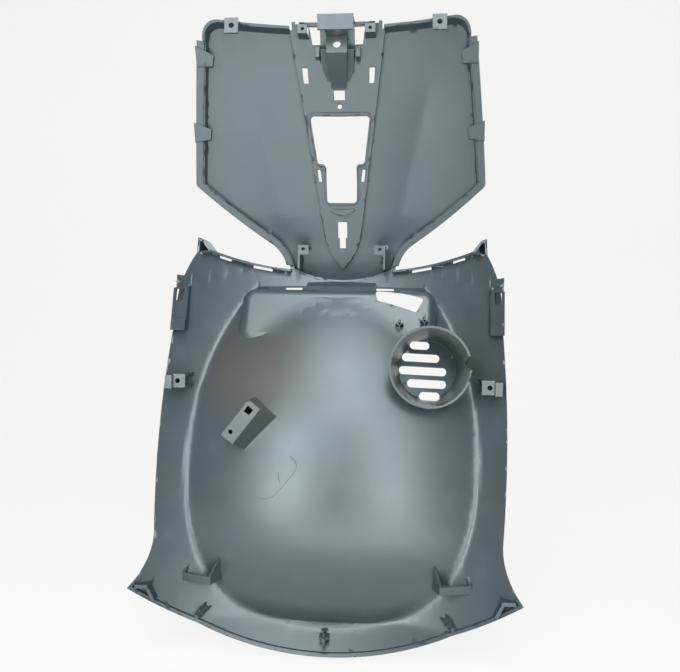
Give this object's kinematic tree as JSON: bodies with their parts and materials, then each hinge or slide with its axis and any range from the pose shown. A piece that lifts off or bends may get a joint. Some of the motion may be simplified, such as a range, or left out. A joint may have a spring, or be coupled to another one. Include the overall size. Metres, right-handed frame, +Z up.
{
  "type": "scooter leg shield",
  "caption": "One-piece moulded inner leg shield of a scooter with a raised spine, keyhole opening, domed lower part, scoop, horn collar with grille, clip tabs and brackets.",
  "frame": {"origin": "middle of the frame bolt hole in the hump at the top, on the rider-side face of its pad", "axes": "+Z up along the shield, +Y forward away from the rider, +X to the right as the rider-side face is looked at"},
  "size_m": [0.388, 0.2045, 0.655],
  "materials": {
    "plastic": "satin, dark charcoal grey, lightly scuffed"
  },
  "bodies": {
    "root": {"leg_shield": "plastic"}
  },
  "joints": []
}
